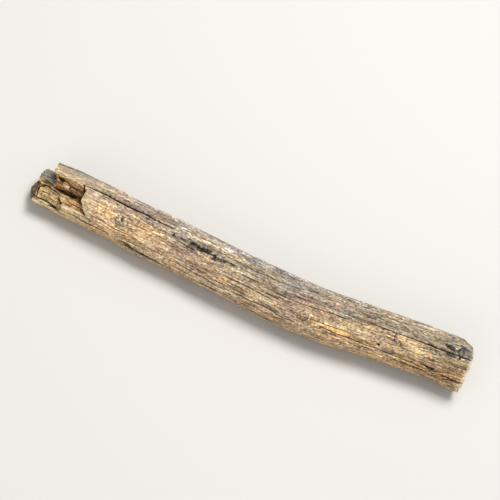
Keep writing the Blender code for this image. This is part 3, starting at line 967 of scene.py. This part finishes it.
def weatheredWood():
    material = bpy.data.materials.new("weatheredWood")
    material.use_nodes = True
    tree = material.node_tree
    shader = tree.nodes["Principled BSDF"]
    look = woodFinish
    place = readAttribute(tree, "grainPlace", split=False)
    relief, torn, hollowAndGrooveShade = readAttribute(tree, "woodMarks")
    crackOff, crackHalf, crackDark = readAttribute(tree, "crackPlace")
    rim, rot, crossGrain = readAttribute(tree, "woodShift")

    streaks = grainTexture(tree, place, 22 * mm, 1.25 * mm, 2, 0)
    hairs = grainTexture(tree, place, 7 * mm, 0.75 * mm, 2, 3.3)
    flecks = grainTexture(tree, place, 2.0 * mm, 1.0 * mm, 2, 15.2)
    broad = grainTexture(tree, place, 15 * mm, 4.5 * mm, 3, 7.1)
    marksAcross = grainTexture(tree, place, 1.7 * mm, 2.4 * mm, 3, 19.7)

    # the grain's tone: pale ridges, dark grooves and short flecks
    tone = look["middle"]
    for value, weight in (
        (streaks, look["streaks"]),
        (hairs, look["hairs"]),
        (flecks, look["flecks"]),
        (broad, look["patches"]),
        (relief, look["relief"]),
    ):
        tone = addWeighted(tree, tone, value, weight)
    marksHere = calculate(tree, "MULTIPLY", calculate(tree, "SUBTRACT", marksAcross, 0.5), crossGrain)
    tone = calculate(tree, "MULTIPLY_ADD", marksHere, look["crossMarks"], tone)
    flat = readAttribute(tree, "flatPlace", split=False)
    for *arc, paler in knotArcs:
        tone = calculate(tree, "MULTIPLY_ADD", knotArc(tree, flat, flecks, arc), paler, tone)
    specks = grainTexture(tree, place, 1.3 * mm, 0.8 * mm, 1, 71.3)
    tone = calculate(tree, "MULTIPLY_ADD", band(tree, specks, 0.66, 0.76), look["paleSpecks"], tone)
    tone = calculate(tree, "MULTIPLY_ADD", band(tree, specks, 0.36, 0.27), -look["darkSpecks"], tone)
    colour = rampOf(tree, tone, grainColours)

    # yellow against grey, and mauve against olive, each in broad and in small patches
    warmth = grainTexture(tree, place, 34 * mm, 15 * mm, 2, 11.9)
    smallWarmth = grainTexture(tree, place, 2.6 * mm, 1.3 * mm, 2, 27.3)
    warmth = addWeighted(tree, calculate(tree, "MULTIPLY_ADD", warmth, 0.7, 0.15), smallWarmth, 1.1)
    warmth = band(tree, warmth, 0.28, 0.72)
    hue = grainTexture(tree, place, 26 * mm, 9 * mm, 2, 31.4)
    smallHue = grainTexture(tree, place, 2.4 * mm, 1.0 * mm, 2, 36.2)
    hue = addWeighted(tree, calculate(tree, "MULTIPLY_ADD", hue, 0.55, 0.225), smallHue, 1.3)
    hue = band(tree, hue, 0.30, 0.70)
    warmthTint = blendColours(tree, warmth, look["coolTint"], look["warmTint"])
    hueTint = blendColours(tree, hue, look["oliveTint"], look["mauveTint"])
    colour = blendColours(tree, 1.0, colour, warmthTint, "MULTIPLY")
    colour = blendColours(tree, 1.0, colour, hueTint, "MULTIPLY")
    colour = blendColours(tree, 1.0, colour, readAttribute(tree, "woodTintAndLight", split=False), "MULTIPLY")

    # torn wood keeps its own colours, with the fibres' light and dark
    tornTone = 1.0
    for value, weight in zip((relief, flecks, streaks, hairs, marksAcross), look["tornGrain"]):
        tornTone = addWeighted(tree, tornTone, value, weight)
    tornShade = addNode(tree, "ShaderNodeCombineXYZ")
    for socket in tornShade.inputs:
        tree.links.new(calculate(tree, "MAXIMUM", tornTone, 0.15), socket)
    tornWood = blendColours(
        tree, 1.0, readAttribute(tree, "tornTintAndShade", split=False), tornShade.outputs[0], "MULTIPLY"
    )
    colour = blendColours(tree, torn, colour, tornWood)
    # the pale rim: fresh wood, partly a painted edge highlight
    colour = blendColours(tree, calculate(tree, "MULTIPLY", rim, look["rimShare"]), colour, look["rim"])

    # thin dark lines in the grain and short squiggles, then painted shade in the hollows, grooves, cracks
    # and holes, then rot
    lineBreaks = band(tree, grainTexture(tree, place, 11 * mm, 3 * mm, 2, 45.0), 0.44, 0.58)
    lineHere = contour(tree, grainTexture(tree, place, 44 * mm, 1.9 * mm, 1, 41.0), 0.008, 0.028)
    lineHere = calculate(tree, "MULTIPLY", lineHere, lineBreaks)
    lineHere = calculate(tree, "MULTIPLY", lineHere, look["fineLines"])
    curlBreaks = band(tree, grainTexture(tree, place, 6 * mm, 3 * mm, 1, 61.0), 0.42, 0.56)
    curls = contour(tree, grainTexture(tree, place, 4.2 * mm, 1.9 * mm, 1, 53.0), 0.010, 0.045)
    curls = calculate(tree, "MULTIPLY", calculate(tree, "MULTIPLY", curls, curlBreaks), look["curls"])
    fineLines = calculate(tree, "MAXIMUM", lineHere, curls)
    colour = blendColours(tree, fineLines, colour, look["crevice"])
    # painted shade in the hollows and grooves
    darkHere = calculate(tree, "MULTIPLY", hollowAndGrooveShade, look["darkest"])
    colour = blendColours(tree, darkHere, colour, look["crevice"])
    # painted shade in the cracks, checks and seams, darker than their shallow cut
    crackWay = calculate(tree, "ABSOLUTE", addWeighted(tree, crackOff, flecks, 0.5))
    crackShare = calculate(tree, "DIVIDE", crackWay, calculate(tree, "ADD", crackHalf, 0.04))
    crackHere = calculate(tree, "SUBTRACT", 1.0, band(tree, crackShare, 0.55, 1.15))
    crackHere = calculate(tree, "MULTIPLY", crackHere, crackDark)
    colour = blendColours(tree, crackHere, colour, look["crevice"])
    # painted shade in the holes
    for hole in holes:
        reach = ovalReach(tree, flat, *hole[:4])[1]
        reach = addWeighted(tree, reach, flecks, 1.2)
        inHole = calculate(tree, "SUBTRACT", 1.0, band(tree, reach, 0.7, 1.25))
        colour = blendColours(tree, calculate(tree, "MULTIPLY", inHole, hole[5]), colour, look["crevice"])
    mould = addWeighted(tree, addWeighted(tree, rot, flecks, 2.0), hairs, 0.8)
    colour = blendColours(tree, band(tree, mould, 0.30, 0.75), colour, look["mouldyWood"])
    colour = blendColours(tree, band(tree, mould, 0.62, 1.05), colour, look["rot"])
    tree.links.new(colour, shader.inputs["Base Color"])

    shader.inputs["Specular IOR Level"].default_value = look["specular"]
    rough = addNode(tree, "ShaderNodeMapRange", {"To Min": look["smoothest"], "To Max": look["roughest"]})
    tree.links.new(hairs, rough.inputs["Value"])
    tree.links.new(rough.outputs["Result"], shader.inputs["Roughness"])
    height = addWeighted(tree, calculate(tree, "MULTIPLY", hairs, 0.8), flecks, 0.9)
    height = addWeighted(tree, height, streaks, 0.9)
    height = calculate(tree, "SUBTRACT", height, calculate(tree, "MULTIPLY", fineLines, 0.5))
    bump = addNode(tree, "ShaderNodeBump", {"Strength": 1.0, "Distance": look["bumpHeight"]})
    tree.links.new(height, bump.inputs["Height"])
    tree.links.new(bump.outputs["Normal"], shader.inputs["Normal"])
    return material


def makeStick():
    piece = copyOfSolid("stick", "weatheredStick")
    remeshWithGrain(piece)
    print("surface meshed:", len(piece.data.polygons), "cells")
    weatherSurface(piece)
    piece.data.materials.clear()
    piece.data.materials.append(weatheredWood())
    pickOnly(piece)
    bpy.ops.object.shade_smooth()
    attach(piece, "root")
    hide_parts("stick")
    return piece


# the photographer looks down on the stick, with the camera rolled so that it runs downhill
photoView = {
    "elevation": math.radians(65),
    "roll": math.radians(22.6),
    "fieldOfView": math.radians(20),
    "widthSeen": 0.3535,              # metres across the picture at the stick's middle
    "target": (0.0, 0.0, 16.5 * mm),
    "aim": (0.56 * mm, 18.42 * mm),   # how far right of and above the target the picture's middle is
}


def addCamera():
    look = photoView
    towards = Vector((0, -math.cos(look["elevation"]), math.sin(look["elevation"])))
    level = Vector((1, 0, 0))
    upright = towards.cross(level)
    right = level * math.cos(look["roll"]) + upright * math.sin(look["roll"])
    up = upright * math.cos(look["roll"]) - level * math.sin(look["roll"])
    distance = look["widthSeen"] / 2 / math.tan(look["fieldOfView"] / 2)
    middle = Vector(look["target"]) + right * look["aim"][0] + up * look["aim"][1]
    turn = Matrix((right, up, towards)).transposed()
    bpy.ops.object.camera_add(location=middle + towards * distance, rotation=turn.to_euler())
    camera = bpy.context.object
    camera.data.sensor_width = 36
    camera.data.angle = look["fieldOfView"]
    camera.data.clip_start = 0.01
    camera.data.clip_end = 20
    bpy.context.scene.camera = camera
    return right, up, towards


studio = {
    "floorColour": (0.62, 0.61, 0.585),
    "floorSize": 6.0,
    "worldColour": (0.93, 0.95, 1.0),
    "worldStrength": 0.50,
    # each light: how far right, up and towards the camera it is, size, watts, colour
    "key": ((0.65, 0.95, 1.15), 0.7, 27, (1.0, 0.98, 0.94)),
    "fill": ((-0.9, -0.8, 1.2), 1.4, 10, (1.0, 0.92, 0.80)),
}


def addStudio(right, up, towards):
    bpy.ops.mesh.primitive_plane_add(size=studio["floorSize"], location=(0, 0, -0.0002))
    floor = bpy.context.object
    floor.name = "floor"
    paint = bpy.data.materials.new("paleFloor")
    paint.use_nodes = True
    shader = paint.node_tree.nodes["Principled BSDF"]
    shader.inputs["Base Color"].default_value = (*studio["floorColour"], 1)
    shader.inputs["Roughness"].default_value = 0.9
    floor.data.materials.append(paint)
    for name in ("key", "fill"):
        (sideways, above, nearer), size, watts, colour = studio[name]
        place = right * sideways + up * above + towards * nearer
        turn = place.to_track_quat("Z", "Y").to_euler()
        bpy.ops.object.light_add(type="AREA", location=place, rotation=turn)
        light = bpy.context.object
        light.name = name + "Light"
        light.data.size = size
        light.data.energy = watts
        light.data.color = colour
    world = bpy.data.worlds.new("studioWorld")
    bpy.context.scene.world = world
    world.use_nodes = True
    background = world.node_tree.nodes["Background"]
    background.inputs["Color"].default_value = (*studio["worldColour"], 1)
    background.inputs["Strength"].default_value = studio["worldStrength"]
    bpy.context.scene.view_settings.view_transform = "Standard"


makeStick()
print("stick made")
addStudio(*addCamera())
print("camera and lights placed")
